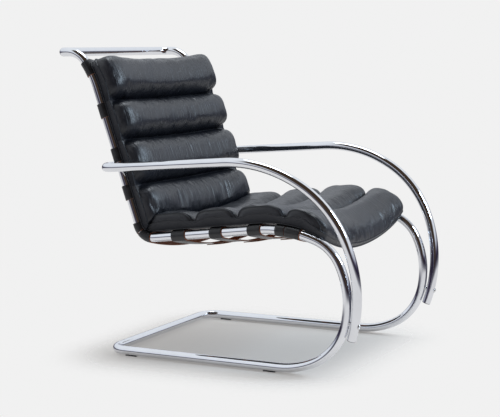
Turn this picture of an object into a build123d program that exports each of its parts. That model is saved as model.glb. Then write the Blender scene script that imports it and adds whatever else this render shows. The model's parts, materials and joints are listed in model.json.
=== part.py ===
"""Cantilever lounge chair: bent tube frame with arm tubes, leather straps and a channelled pad.

Millimetres. +Z is up, the chair faces -Y, and the origin is on the floor under the middle of the
whole chair. Left and right are the sitter's own, so the sitter's right is on -X.
"""
from build123d import *
from math import asin, cos, degrees, radians, sin, sqrt, tan
import os

# ---- driving dimensions -------------------------------------------------------------------------
TUBE_OUTER_R = 12.0
TUBE_WALL = 2.0
GLIDE_HEIGHT = 1.5                      # the frame stands this far above the floor on its glides

FRAME_HALF_WIDTH = 262.0                # middle of the chair to the centreline of a side
REAR_BAR_Y = 303.4                      # centreline of the rear floor bar
BASE_CORNER_R = 45.0
BASE_RAIL_LENGTH = 476.4                # straight floor rail, in front of its rear corner
FRONT_BENDS = ((239.9, 25.0), (155.5, 50.0), (223.3, 40.0), (113.5, 45.0), (354.3, 26.47))
SEAT_RAIL_LENGTH = 317.4
SEAT_BACK_BEND = (45.0, 78.3)           # radius and turn between the seat rail and the back rail
BACK_RAIL_LENGTH = 387.5
TOP_BENDS = ((250.0, 18.0), (70.0, 53.83))
TOP_CORNER_R = 30.5

ARM_HALF_WIDTH = 301.2
ARM_BAR_Y = 292.7                       # centreline of the bar that joins the arms behind the back
ARM_BAR_Z = 517.0
ARM_CORNER_R = 45.0
ARM_RISE = 3.48                         # degrees, towards the front
ARM_STRAIGHT_LENGTH = 338.0
ARM_BENDS = ((364.0, 35.0), (280.0, 35.0), (350.2, 43.43))
ARM_LEAN = 5.0                          # degrees that the arm's curve leans in about its straight

STRAP_THICKNESS = 3.0
STRAP_FIT = 0.05                        # strap to tube
SEAT_STRAP_DIP = 21.0                   # middle of a loaded run, below the line of the rail centres
BACK_STRAP_DIP = 15.0
SEAT_RETURN_DIP = 45.0                  # the same for the slack run under the seat
BACK_RETURN_DIP = 18.0                  # and for the run behind the back
# start and width of each strap, measured along the rail from the seat end of the seat/back bend
SEAT_STRAPS = ((60.0, 42.0), (177.0, 37.0), (290.0, 38.0), (370.0, 26.0), (396.6, 42.4))
CORNER_STRAP = (8.0, 34.0)              # measured the other way, into the bend
# and from the back end of the same bend, upwards
BACK_STRAPS = ((-17.0, 25.0), (72.5, 40.0), (178.5, 39.0), (303.0, 40.0), (424.0, 42.0))

PAD_HALF_WIDTH = 262.0
PAD_SAG = 26.0                          # both pads follow the straps down in the middle
SEAT_SAG = 32.0                         # the seat pad more so, past its first roll
FRONT_SAG = 42.0                        # and it droops further past the last strap
FRONT_DROOP = (440.0, 490.0)            # stations over which it does so
FOLD_GAP = 0.4                          # between each pad and the plane of the fold
PAD_SKIN = 1.6
PAD_FIT = 2.4                           # filling to cover
SIDE_BAND = 20.0                        # height of the sewn side band
COVER_MOUTH = 4.8                       # the cover is open underneath, where the straps back it
SEAT_PAD_BASE = 16.5                    # underside of the pad above the rail centreline
BACK_PAD_BASE = 16.5
SEAT_ROLL_TOP = 64.0                    # crown of a roll above the rail centreline
BACK_ROLL_TOP = 76.0
FRONT_SWELL = 20.0                      # the middle of the seat pad's front edge stands further out
# a roll rises steeply beside its seams; shares of its width, and of its crown's height
ROLL_FLANK, ROLL_FLANK_RISE = 0.045, 0.46
ROLL_SHOULDER, ROLL_SHOULDER_RISE = 0.16, 0.78
ROLL_END = 30.0                         # the crown draws in over this width at each end of a roll
ROLL_END_KEPT = 0.16                    # share of the crown left at the side band
ROLL_END_POWER = 2.4                    # how late the crown draws in
PAD_CORNER_R = 18.0                     # the far corners of each pad, seen from above
# seams between rolls, along the rail from the bend: forward on the seat, upwards on the back
SEAT_SEAMS = (128.0, 256.0, 390.0, 492.0)
BACK_SEAMS = (104.0, 231.0, 342.0, 462.0)
PAD_STATIONS = (0.0, 90.0, 165.0, 222.0, 244.0, 256.0, 262.0)

BUCKLE_WIRE = 3.0
BUCKLE_LENGTH = 34.0
BUCKLE_PLAY = 1.5                       # opening of a buckle beyond its strap's width
BUCKLE_CORNER_R = 4.0
BUCKLE_GAP = 1.2                        # between the strap and the buckle outside it
PRONG_WIDTH = 2.6
TONGUE_LENGTH = 95.0
TONGUE_INSET = 2.0                      # the free end is skived this much narrower on each side
TONGUE_THINNED = 0.8                    # and to this share of the strap's thickness
SCREW_R = 3.0
SCREW_HEAD_R = 6.5
SCREW_HEAD_HEIGHT = 5.0
SCREW_HEAD_SINK = 2.2                   # depth of the head's hollow underside
SCREW_SOCKET_R = 2.3
SCREW_SOCKET_DEPTH = 1.2
SCREW_DOME = 0.5                        # rounding of the head, as a share of its height
SHANK_TOP = 0.4                         # how far down from its top the shank starts, likewise
FRONT_FIXING = 40.0                     # from the lower end of an arm, along it
REAR_FIXING_INSET = 4.0                 # of the rear screw from the centre of the back rail
SPACER_R = 7.0
FERRULE_LENGTH = 110.0
PLUG_DEPTH = 12.0
PLUG_CAP = 1.6
PLUG_FIT = 0.6                          # stem to the inside of the tube
PLUG_CAP_INSET = 0.4
PLUG_DOME = 0.6                         # rounding of the cap, as a share of its thickness
GLIDE_LENGTH = 34.0
GLIDE_WIDTH = 11.0
GLIDE_PEG_R = 2.5
GLIDE_CRADLE = 8.0                      # height of the block that is hollowed to the tube
GLIDE_PEG_REACH = 2.0                   # past the wall of the tube
GLIDE_SPOTS = (-190.0, 235.0)           # y of the glides under each floor rail
SEAM_TURN = 40.0                        # degrees; keeps a tube's lengthwise seam away from its holes

TUBE_INNER_R = TUBE_OUTER_R - TUBE_WALL
FLOOR_RAIL_Z = GLIDE_HEIGHT + TUBE_OUTER_R
CLEARANCE = 0.1


# ---- paths in the side plane --------------------------------------------------------------------
class Leg:
    """One straight or one arc of a path in the side plane; turn is in degrees, left positive."""

    def __init__(self, y, z, heading, length, turn):
        self.y, self.z, self.heading = y, z, heading
        self.length, self.turn = length, turn
        self.radius = length / radians(turn) if turn else None

    def centre(self):
        h = radians(self.heading)
        return self.y - self.radius * sin(h), self.z + self.radius * cos(h)

    def at(self, distance):
        """Position and heading a distance along the leg, which may run past either end."""
        h = radians(self.heading)
        if not self.turn:
            return self.y + distance * cos(h), self.z + distance * sin(h), self.heading
        cy, cz = self.centre()
        h += distance / self.radius
        return cy + self.radius * sin(h), cz - self.radius * cos(h), degrees(h)


def straight(length):
    return length, 0.0


def bend(radius, turn):
    return radius * radians(abs(turn)), turn


def trace(y, z, heading, moves):
    """Legs that follow one another without a corner."""
    legs = []
    for length, turn in moves:
        leg = Leg(y, z, heading, length, turn)
        legs.append(leg)
        y, z, heading = leg.at(length)
    return legs


def at_station(legs, station):
    """Position and heading at a station along a run of legs."""
    for leg in legs[:-1]:
        if station <= leg.length:
            return leg.at(station)
        station -= leg.length
    return legs[-1].at(station)


def offset_point(legs, station, height):
    """The point a height above the path, on its left, as (y, z)."""
    y, z, heading = at_station(legs, station)
    return y - height * sin(radians(heading)), z + height * cos(radians(heading))


def side_edges(legs, place):
    """Lines and arcs along legs; place turns a side-plane point into a point in space."""
    edges = []
    for leg in legs:
        start, middle, end = (place(*leg.at(leg.length * part)[:2]) for part in (0, 0.5, 1))
        edges.append(ThreePointArc(start, middle, end) if leg.turn else Line(start, end))
    return edges


def tube(edges, outer_r=TUBE_OUTER_R, inner_r=TUBE_INNER_R):
    """A round tube along tangent edges."""
    path = Wire([part for edge in edges for part in edge.edges()])
    ring = Rot(0, 0, SEAM_TURN) * (Circle(outer_r) - Circle(inner_r))
    face = Plane(origin=path @ 0, z_dir=path % 0) * ring
    return sweep(face, path=path)


def soft_arc(start, middle, end):
    """An arc through three points, or a line where they are in line."""
    start, middle, end = Vector(*start), Vector(*middle), Vector(*end)
    chord = (end - start).normalized()
    rise = ((middle - start) - chord * (middle - start).dot(chord)).length
    return Line(start, end) if rise < 0.01 else ThreePointArc(start, middle, end)


def rod(start, end, radius):
    start, end = Vector(*start), Vector(*end)
    length = (end - start).length
    plane = Plane(origin=start, z_dir=(end - start).normalized())
    return plane * Pos(0, 0, length / 2) * Cylinder(radius, length)


# ---- the two side profiles ----------------------------------------------------------------------
FLOOR_AND_FRONT = trace(
    REAR_BAR_Y - BASE_CORNER_R, FLOOR_RAIL_Z, 180.0,
    [straight(BASE_RAIL_LENGTH)] + [bend(r, -turn) for r, turn in FRONT_BENDS])
SEAT_START = FLOOR_AND_FRONT[-1].at(FLOOR_AND_FRONT[-1].length)
SEAT_AND_BACK = trace(
    *SEAT_START,
    [straight(SEAT_RAIL_LENGTH), bend(*SEAT_BACK_BEND), straight(BACK_RAIL_LENGTH)]
    + [bend(r, -turn) for r, turn in TOP_BENDS])
SIDE_PROFILE = FLOOR_AND_FRONT + SEAT_AND_BACK
BEND_LEG = SEAT_AND_BACK[1]
HALF_BEND = BEND_LEG.length / 2
LOWER_HALF_BEND = trace(*BEND_LEG.at(0), [(HALF_BEND, BEND_LEG.turn / 2)])
UPPER_HALF_BEND = trace(*BEND_LEG.at(HALF_BEND), [(HALF_BEND, BEND_LEG.turn / 2)])


def reversed_legs(legs):
    """The same path walked the other way."""
    moves = [(leg.length, -leg.turn) for leg in reversed(legs)]
    y, z, heading = legs[-1].at(legs[-1].length)
    return trace(y, z, heading + 180.0, moves)


# both walks start in the middle of the bend; the seat's upper side is then on the right
SEAT_LEGS = reversed_legs([SEAT_AND_BACK[0]] + LOWER_HALF_BEND) + reversed_legs(FLOOR_AND_FRONT[-2:])
BACK_LEGS = UPPER_HALF_BEND + SEAT_AND_BACK[2:]


def seat_point(station, height):
    return offset_point(SEAT_LEGS, station + HALF_BEND, -height)


def back_point(station, height):
    return offset_point(BACK_LEGS, station + HALF_BEND, height)


# ---- frame --------------------------------------------------------------------------------------
def frame_half(side):
    """Half of the frame, from the middle of the rear floor bar to the middle of the top bar."""
    x = side * FRAME_HALF_WIDTH

    def place(y, z):
        return x, y, z

    quarter = sqrt(0.5)
    bar_end = x - side * BASE_CORNER_R
    floor_corner = ThreePointArc(
        (bar_end, REAR_BAR_Y, FLOOR_RAIL_Z),
        (bar_end + side * BASE_CORNER_R * quarter,
         REAR_BAR_Y - BASE_CORNER_R * (1 - quarter), FLOOR_RAIL_Z),
        (x, REAR_BAR_Y - BASE_CORNER_R, FLOOR_RAIL_Z))
    floor_bar = Line((0, REAR_BAR_Y, FLOOR_RAIL_Z), (bar_end, REAR_BAR_Y, FLOOR_RAIL_Z))

    top_y, top_z, _ = SIDE_PROFILE[-1].at(SIDE_PROFILE[-1].length)
    top_end = x - side * TOP_CORNER_R
    top_corner = ThreePointArc(
        (x, top_y, top_z),
        (top_end + side * TOP_CORNER_R * quarter, top_y + TOP_CORNER_R * quarter, top_z),
        (top_end, top_y + TOP_CORNER_R, top_z))
    top_bar = Line((top_end, top_y + TOP_CORNER_R, top_z), (0, top_y + TOP_CORNER_R, top_z))
    return tube([floor_bar, floor_corner] + side_edges(SIDE_PROFILE, place) + [top_corner, top_bar])


def bar_ferrule(y, z):
    """Sleeve inside the joint at the middle of a cross bar."""
    outer = TUBE_INNER_R - CLEARANCE
    inner = outer - TUBE_WALL
    ring = Cylinder(outer, FERRULE_LENGTH) - Cylinder(inner, FERRULE_LENGTH)
    return Pos(0, y, z) * Rot(0, 90, 0) * ring


# ---- arms ---------------------------------------------------------------------------------------
ARM_LEGS = trace(
    ARM_BAR_Y - ARM_CORNER_R * cos(radians(ARM_RISE)), ARM_BAR_Z + ARM_CORNER_R * sin(radians(ARM_RISE)),
    180.0 - ARM_RISE,
    [straight(ARM_STRAIGHT_LENGTH)] + [bend(r, turn) for r, turn in ARM_BENDS])


def arm_place(side):
    """Leans the arm's curve inwards about the line of its straight."""
    y0, z0, heading = ARM_LEGS[0].at(0)
    ahead = (cos(radians(heading)), sin(radians(heading)))
    below = (-ahead[1], ahead[0])

    def place(y, z):
        along = (y - y0) * ahead[0] + (z - z0) * ahead[1]
        drop = (y - y0) * below[0] + (z - z0) * below[1]
        flat = drop * cos(radians(ARM_LEAN))
        return (side * (ARM_HALF_WIDTH - drop * sin(radians(ARM_LEAN))),
                y0 + along * ahead[0] + flat * below[0],
                z0 + along * ahead[1] + flat * below[1])
    return place


def arm_edges(side):
    """Centreline of half of the arm tube, from the middle of its rear bar to its lower end."""
    place = arm_place(side)
    bar_end = side * (ARM_HALF_WIDTH - ARM_CORNER_R)
    y0, z0, _ = ARM_LEGS[0].at(0)
    quarter = sqrt(0.5)
    ahead = Vector(0, y0 - ARM_BAR_Y, z0 - ARM_BAR_Z)
    corner_mid = (Vector(bar_end + side * ARM_CORNER_R * quarter, ARM_BAR_Y, ARM_BAR_Z)
                  + ahead * (1 - quarter))
    bar = Line((0, ARM_BAR_Y, ARM_BAR_Z), (bar_end, ARM_BAR_Y, ARM_BAR_Z))
    corner = ThreePointArc((bar_end, ARM_BAR_Y, ARM_BAR_Z), corner_mid, place(y0, z0))
    return [bar, corner] + side_edges(ARM_LEGS, place)


def arm_end_plug(side):
    """Domed plug pressed into the free end of an arm."""
    place = arm_place(side)
    y, z, heading = ARM_LEGS[-1].at(ARM_LEGS[-1].length)
    end = Vector(*place(y, z))
    beyond = Vector(*place(y + cos(radians(heading)), z + sin(radians(heading))))
    plane = Plane(origin=end, z_dir=(beyond - end).normalized())
    stem = Pos(0, 0, -PLUG_DEPTH / 2) * Cylinder(TUBE_INNER_R - PLUG_FIT, PLUG_DEPTH)
    cap = Pos(0, 0, PLUG_CAP / 2) * Cylinder(TUBE_OUTER_R - PLUG_CAP_INSET, PLUG_CAP)
    cap = fillet(cap.faces().sort_by(Axis.Z)[-1].edges(), PLUG_CAP * PLUG_DOME)
    return plane * (stem + cap)


# ---- fixings ------------------------------------------------------------------------------------
def front_fixing_line(side):
    """Centres of the leg tube and of the arm tube where the arm's lower end is fixed."""
    last = ARM_LEGS[-1]
    arm = Vector(*arm_place(side)(*last.at(last.length - FRONT_FIXING)[:2]))
    lowest = None
    for leg in FLOOR_AND_FRONT[1:]:
        for part in range(101):
            y, z, _ = leg.at(leg.length * part / 100)
            point = Vector(side * FRAME_HALF_WIDTH, y, z)
            if lowest is None or (point - arm).length < (lowest - arm).length:
                lowest = point
    return lowest, arm


def rear_fixing_line(side):
    """Centres of the back rail and of the arm tube's rear bar, on one level line."""
    start_y, start_z, heading = SEAT_AND_BACK[2].at(0)
    rail_y = start_y + (ARM_BAR_Z - start_z) / sin(radians(heading)) * cos(radians(heading))
    x = side * (FRAME_HALF_WIDTH - REAR_FIXING_INSET)
    return Vector(x, rail_y, ARM_BAR_Z), Vector(x, ARM_BAR_Y, ARM_BAR_Z)


def fixing_screw(side, which):
    """Domed screw through the arm into the frame, its head hollowed underneath to the arm's round."""
    inner, outer = fixing_lines(side)[which]
    along = (outer - inner).normalized()
    top = SCREW_HEAD_HEIGHT - SCREW_HEAD_SINK
    head = Pos(0, 0, top - SCREW_HEAD_HEIGHT / 2) * Cylinder(SCREW_HEAD_R, SCREW_HEAD_HEIGHT)
    head = fillet(head.faces().sort_by(Axis.Z)[-1].edges(), SCREW_HEAD_HEIGHT * SCREW_DOME)
    socket = Pos(0, 0, top) * extrude(RegularPolygon(SCREW_SOCKET_R, 6), amount=SCREW_SOCKET_DEPTH,
                                      both=True)
    head = Plane(origin=outer + along * TUBE_OUTER_R, z_dir=along) * (head - socket)
    head -= solid_bar(arm_edges(side))
    shank_end = TUBE_OUTER_R + top - SCREW_HEAD_HEIGHT * SHANK_TOP
    return head + rod(inner, outer + along * shank_end, SCREW_R)


def fixing_spacer(inner, outer, tubes):
    """Round spacer between two tubes, hollowed to fit both and bored for the screw."""
    body = rod(inner, outer, SPACER_R) - rod(inner, outer, SCREW_R + CLEARANCE)
    for other in tubes:
        body -= other
    return body.solids().sort_by(SortBy.VOLUME)[-1]


def solid_bar(edges):
    """Full round bar along tangent edges, to hollow a fitting with."""
    path = Wire([part for edge in edges for part in edge.edges()])
    face = Plane(origin=path @ 0, z_dir=path % 0) * Circle(TUBE_OUTER_R + CLEARANCE / 4)
    return sweep(face, path=path)


def glide(side, y):
    """Thin floor glide with a peg into the tube."""
    x = side * FRAME_HALF_WIDTH
    strip = Pos(x, y, GLIDE_CRADLE / 2) * Box(GLIDE_WIDTH, GLIDE_LENGTH, GLIDE_CRADLE)
    hollow = Cylinder(TUBE_OUTER_R + CLEARANCE / 4, 2 * GLIDE_LENGTH)
    strip -= Pos(x, y, FLOOR_RAIL_Z) * Rot(90, 0, 0) * hollow
    peg_top = GLIDE_HEIGHT + TUBE_WALL + GLIDE_PEG_REACH
    peg = rod((x, y, GLIDE_HEIGHT / 2), (x, y, peg_top), GLIDE_PEG_R)
    return strip + peg


# ---- straps -------------------------------------------------------------------------------------
def strap_loop(dip, return_dip):
    """Section of a strap looped round both rails, centred between them."""
    c, r, t = FRAME_HALF_WIDTH, TUBE_OUTER_R + STRAP_FIT, STRAP_THICKNESS
    drop = r + dip
    high = (c * c - drop * drop) / (2 * drop)
    loaded_r = high + dip
    slack = return_dip - r
    mid = (c * c - slack * slack) / (2 * slack)
    slack_r = mid + return_dip

    def outline(extra):
        """Closed line; extra is 0 for the face against the tubes and the thickness outside."""
        tube_r = r + extra
        upper = (c - tube_r * c / (loaded_r + r), tube_r * high / (loaded_r + r))
        lower = (c + tube_r * c / (slack_r - r), -tube_r * mid / (slack_r - r))
        nose = (c + tube_r, 0.0)
        shoulder = (c + tube_r * sin(radians(45)), tube_r * cos(radians(45)))
        hip_angle = asin(-lower[1] / tube_r) / 2
        hip = (c + tube_r * cos(hip_angle), -tube_r * sin(hip_angle))
        hollow = (0.0, -dip + extra)
        belly = (0.0, -return_dip - extra)

        def mirror(p):
            return -p[0], p[1]
        return make_face([
            ThreePointArc(mirror(upper), hollow, upper),
            ThreePointArc(upper, shoulder, nose),
            ThreePointArc(nose, hip, lower),
            ThreePointArc(lower, belly, mirror(lower)),
            ThreePointArc(mirror(lower), mirror(hip), mirror(nose)),
            ThreePointArc(mirror(nose), mirror(shoulder), mirror(upper))])

    return outline(t) - outline(0.0)


def section_plane(y, z, heading):
    """Plane square to a path, its own y pointing to the sitter's side."""
    return Plane(origin=(0, y, z), x_dir=(-1, 0, 0),
                 z_dir=(0, cos(radians(heading)), sin(radians(heading))))


def band_along(legs, start, width, face):
    """Carries a section along part of a path, across as many legs as it meets."""
    pieces = []
    station = 0.0
    for index, leg in enumerate(legs):
        first = start - station if index == 0 else max(start - station, 0.0)
        last = min(start + width - station, leg.length)
        if last - first > 0.01:
            plane = section_plane(*leg.at(first))
            if leg.turn:
                cy, cz = leg.centre()
                angle = (last - first) / leg.length * leg.turn
                axis = Axis((0, cy, cz), (1 if angle > 0 else -1, 0, 0))
                pieces.append(revolve(plane * face, axis=axis, revolution_arc=abs(angle)))
            else:
                pieces.append(extrude(plane * face, amount=last - first))
        station += leg.length
    band = pieces[0]
    for piece in pieces[1:]:
        band += piece
    return band


# the whole run from the front bend to the top, for the straps
STRAP_LEGS = FLOOR_AND_FRONT[-2:] + SEAT_AND_BACK
BEND_START = sum(leg.length for leg in STRAP_LEGS[:3])
BACK_START = BEND_START + BEND_LEG.length


def seat_strap_run(start, width):
    return BEND_START - start - width, width


def back_strap_run(start, width):
    return BACK_START + start, width


def middle_plane(run):
    y, z, heading = at_station(STRAP_LEGS, run[0] + run[1] / 2)
    return section_plane(y, z, heading)


def strap_buckle(run, return_dip):
    """Flat wire frame with a prong, on the outside of the strap's return run."""
    opening = run[1] + BUCKLE_PLAY
    outer = extrude(RectangleRounded(BUCKLE_LENGTH, opening + 2 * BUCKLE_WIRE, BUCKLE_CORNER_R),
                    amount=BUCKLE_WIRE)
    inner = extrude(RectangleRounded(BUCKLE_LENGTH - 2 * BUCKLE_WIRE, opening, BUCKLE_CORNER_R / 2),
                    amount=BUCKLE_WIRE)
    half_wire = BUCKLE_WIRE / 2
    bar = Pos(0, 0, half_wire) * Box(BUCKLE_WIRE, opening, BUCKLE_WIRE)
    prong = Pos(BUCKLE_LENGTH / 4, 0, half_wire) * Box(BUCKLE_LENGTH / 2, PRONG_WIDTH, BUCKLE_WIRE)
    frame = outer - inner + bar + prong
    gap = STRAP_THICKNESS + BUCKLE_GAP
    turned = Pos(0, -return_dip - gap, 0) * Rot(90, 0, 0) * frame
    return middle_plane(run) * turned


def strap_tongue(run, return_dip):
    """Free end of the strap, lapped over the outside of its return run past the buckle."""
    gap = STRAP_THICKNESS + BUCKLE_GAP
    start = BUCKLE_LENGTH / 2 + BUCKLE_PLAY
    c, r = FRAME_HALF_WIDTH, TUBE_OUTER_R + STRAP_FIT
    slack = return_dip - r
    mid = (c * c - slack * slack) / (2 * slack)
    curve = mid + return_dip

    def under(x, extra):
        return x, mid - sqrt((curve + extra) ** 2 - x * x)
    end = start + TONGUE_LENGTH
    centre = (start + end) / 2
    top = ThreePointArc(under(start, gap), under(centre, gap), under(end, gap))
    outer = gap + STRAP_THICKNESS * TONGUE_THINNED
    bottom = ThreePointArc(under(end, outer), under(centre, outer), under(start, outer))
    face = make_face([top, Line(under(end, gap), under(end, outer)), bottom,
                      Line(under(start, outer), under(start, gap))])
    width = run[1] - 2 * TONGUE_INSET
    return extrude(middle_plane(run) * face, amount=width / 2, both=True)


# ---- pads ---------------------------------------------------------------------------------------
def pad_sag(x, deepest):
    return deepest * (1 - (x / PAD_HALF_WIDTH) ** 2)


def end_fall(x):
    """How much of a roll's crown is left at x: full in the middle, drawn in at the sides."""
    edge = max(0.0, 1 - (PAD_HALF_WIDTH - abs(x)) / ROLL_END)
    return sqrt(1 - edge ** ROLL_END_POWER)


def fold_limit(height):
    """Least station at which a pad may stand this high without crossing the plane of the fold."""
    radius, turn = SEAT_BACK_BEND
    return tan(radians(turn / 2)) * (height - radius) + 4 * FOLD_GAP if height > radius else -HALF_BEND


def corner_drop(x, inset):
    """How far a pad's far edge is cut back at x by its rounded corner."""
    radius = PAD_CORNER_R - inset
    past = abs(x) - (PAD_HALF_WIDTH - PAD_CORNER_R)
    return radius - sqrt(max(0.0, radius ** 2 - past ** 2)) if past > 0 else 0.0


def roll_marks(left, right, low, crown):
    """Seven (station, height) marks over one crowned roll, steep beside its seams."""
    width = right - left
    flank, shoulder = low + crown * ROLL_FLANK_RISE, low + crown * ROLL_SHOULDER_RISE
    return [(left, low), (left + width * ROLL_FLANK, flank), (left + width * ROLL_SHOULDER, shoulder),
            ((left + right) / 2, low + crown),
            (right - width * ROLL_SHOULDER, shoulder), (right - width * ROLL_FLANK, flank), (right, low)]


def pad_section(x, pad, inset, floor_drop):
    """Closed outline of a pad across x: a row of crowned rolls over a flat side band."""
    place, seams, base, roll_top, sag_at, swell = pad
    band_top = base + SIDE_BAND
    crown = (roll_top - band_top) * (ROLL_END_KEPT + (1 - ROLL_END_KEPT) * end_fall(x))

    def point(station, height):
        real_height = height - sag_at(x, station)
        y, z = place(max(station, fold_limit(real_height) + inset), real_height)
        return x, y, z

    first = FOLD_GAP - HALF_BEND + inset
    last = seams[-1] - inset + pad_sag(x, swell) - corner_drop(x, inset)
    stops = [first, *seams[:-1], last]
    low, bottom = band_top - inset, base + inset - floor_drop
    edges = []
    for left, right in zip(stops, stops[1:]):
        spots = [point(*mark) for mark in roll_marks(left, right, low, crown)]
        for start in (0, 2, 4):
            edges.append(soft_arc(*spots[start:start + 3]))
    edges.append(Line(point(last, low), point(last, bottom)))
    for right, left in zip(reversed(stops), reversed(stops[:-1])):
        edges.append(soft_arc(point(right, bottom), point((left + right) / 2, bottom),
                              point(left, bottom)))
    edges.append(Line(point(first, bottom), point(first, low)))
    return Wire([part for edge in edges for part in edge.edges()])


def pad_body(pad, inset=0.0, floor_drop=0.0):
    """The pad's outer body, or the same body drawn in by inset on every side."""
    places = [min(x, PAD_HALF_WIDTH - inset) for x in PAD_STATIONS]
    stations = [-x for x in reversed(places[1:])] + places
    return Solid.make_loft([pad_section(x, pad, inset, floor_drop) for x in stations], ruled=True)


def ease(station, start, end):
    """0 before start, 1 past end, and even in between."""
    return min(1.0, max(0.0, (station - start) / (end - start)))


def seat_sag(x, station):
    """The seat pad sags with the straps, and more past the last of them."""
    deepest = PAD_SAG + (SEAT_SAG - PAD_SAG) * ease(station, 0.0, SEAT_SEAMS[0])
    return pad_sag(x, deepest + (FRONT_SAG - SEAT_SAG) * ease(station, *FRONT_DROOP))


def back_sag(x, station):
    return pad_sag(x, PAD_SAG)


SEAT_PAD = (seat_point, SEAT_SEAMS, SEAT_PAD_BASE, SEAT_ROLL_TOP, seat_sag, FRONT_SWELL)
BACK_PAD = (back_point, BACK_SEAMS, BACK_PAD_BASE, BACK_ROLL_TOP, back_sag, 0.0)


def pad_parts(pad):
    """Leather cover, open underneath, and the filling inside it."""
    cover = pad_body(pad) - pad_body(pad, inset=PAD_SKIN, floor_drop=COVER_MOUTH)
    filling = pad_body(pad, inset=PAD_SKIN + PAD_FIT)
    return cover, filling


# ---- assembly -----------------------------------------------------------------------------------
SIDES = {"left": 1, "right": -1}


def fixing_lines(side):
    """Pairs of tube centres, from the frame to the arm, at both fixings of one side."""
    return front_fixing_line(side), rear_fixing_line(side)


def drill(body, line):
    """Removes the screw's way: through the arm, and through the near wall of the frame tube."""
    inner, outer = line
    along = (outer - inner).normalized()
    return body - rod(inner, outer + along * 2 * TUBE_OUTER_R, SCREW_R + CLEARANCE)


def frame_part(side):
    frame = frame_half(side)
    for line in fixing_lines(side):
        frame = drill(frame, line)
    x = side * FRAME_HALF_WIDTH
    for y in GLIDE_SPOTS:
        frame -= rod((x, y, 0), (x, y, FLOOR_RAIL_Z), GLIDE_PEG_R + CLEARANCE)
    return frame


def arm_part(side):
    arm = tube(arm_edges(side))
    for line in fixing_lines(side):
        arm = drill(arm, line)
    return arm


def spacer_part(side, which):
    """Spacer at a fixing, its ends hollowed to the round of both tubes."""
    line = fixing_lines(side)[which]
    x = side * FRAME_HALF_WIDTH
    frame_bar = solid_bar(side_edges(SIDE_PROFILE, lambda y, z: (x, y, z)))
    return fixing_spacer(*line, (frame_bar, solid_bar(arm_edges(side))))


def build():
    """Every sub-part by name."""
    parts = {}
    top_y, top_z, _ = SIDE_PROFILE[-1].at(SIDE_PROFILE[-1].length)
    for name, side in SIDES.items():
        parts["frame_tube_" + name] = frame_part(side)
        parts["arm_tube_" + name] = arm_part(side)
    parts["floor_bar_ferrule"] = bar_ferrule(REAR_BAR_Y, FLOOR_RAIL_Z)
    parts["top_bar_ferrule"] = bar_ferrule(top_y + TOP_CORNER_R, top_z)
    parts["arm_bar_ferrule"] = bar_ferrule(ARM_BAR_Y, ARM_BAR_Z)
    both = SIDES.values()
    parts["arm_end_plugs"] = [arm_end_plug(side) for side in both]
    parts["front_arm_spacers"] = [spacer_part(side, 0) for side in both]
    parts["rear_arm_spacers"] = [spacer_part(side, 1) for side in both]
    parts["front_arm_screws"] = [fixing_screw(side, 0) for side in both]
    parts["rear_arm_screws"] = [fixing_screw(side, 1) for side in both]
    parts["floor_glides"] = [glide(side, y) for side in both for y in GLIDE_SPOTS]

    seat_runs = [back_strap_run(-BEND_LEG.length + CORNER_STRAP[0], CORNER_STRAP[1])]
    seat_runs += [seat_strap_run(*strap) for strap in SEAT_STRAPS]
    back_runs = [back_strap_run(*strap) for strap in BACK_STRAPS]
    groups = (("seat", seat_runs, SEAT_STRAP_DIP, SEAT_RETURN_DIP),
              ("back", back_runs, BACK_STRAP_DIP, BACK_RETURN_DIP))
    for group, runs, dip, return_dip in groups:
        loop = strap_loop(dip, return_dip)
        for number, run in enumerate(runs, 1):
            parts["%s_strap_%d" % (group, number)] = band_along(STRAP_LEGS, *run, loop)
        buckled = runs[1:4] + runs[5:] if group == "seat" else runs[1:4]
        parts[group + "_strap_buckles"] = [strap_buckle(run, return_dip) for run in buckled]
        parts[group + "_strap_tongues"] = [strap_tongue(run, return_dip) for run in buckled]

    parts["seat_pad_cover"], parts["seat_pad_filling"] = pad_parts(SEAT_PAD)
    parts["back_pad_cover"], parts["back_pad_filling"] = pad_parts(BACK_PAD)
    return parts


def write(name, shape):
    """One file for each sub-part, a group of like solids as a compound."""
    if isinstance(shape, list):
        shape = Compound([solid for one in shape for solid in one.solids()])
    export_step(shape, os.path.join("parts", name + ".step"))


if __name__ == "__main__":
    os.makedirs("parts", exist_ok=True)
    for node, shape in build().items():
        write(node, shape)
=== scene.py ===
"""Cantilever lounge chair: the finishes, straps, cords and soft pads over the chair's solid frame.

Everything is in metres. +Z is up, the sitter faces -Y, and the sitter's right is on -X.
"""
import bmesh
import bpy
import json
from math import asin, cos, degrees, pi, radians, sin, sqrt, tan
from mathutils import Matrix, Vector, noise

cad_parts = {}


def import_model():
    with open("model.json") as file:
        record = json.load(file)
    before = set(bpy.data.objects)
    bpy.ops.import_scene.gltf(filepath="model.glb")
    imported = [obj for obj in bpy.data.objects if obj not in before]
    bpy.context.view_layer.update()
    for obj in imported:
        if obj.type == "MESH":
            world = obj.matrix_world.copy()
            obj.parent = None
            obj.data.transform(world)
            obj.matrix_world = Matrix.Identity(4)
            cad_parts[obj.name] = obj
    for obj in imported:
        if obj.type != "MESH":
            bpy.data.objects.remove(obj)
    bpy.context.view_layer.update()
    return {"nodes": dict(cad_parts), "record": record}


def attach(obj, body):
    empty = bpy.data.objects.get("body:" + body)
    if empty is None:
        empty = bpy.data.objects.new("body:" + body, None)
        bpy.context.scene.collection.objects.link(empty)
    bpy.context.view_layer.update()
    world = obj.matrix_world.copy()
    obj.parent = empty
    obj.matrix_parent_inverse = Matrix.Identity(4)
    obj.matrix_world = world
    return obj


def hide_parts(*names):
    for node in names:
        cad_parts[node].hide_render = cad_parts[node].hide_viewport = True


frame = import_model()

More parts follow.
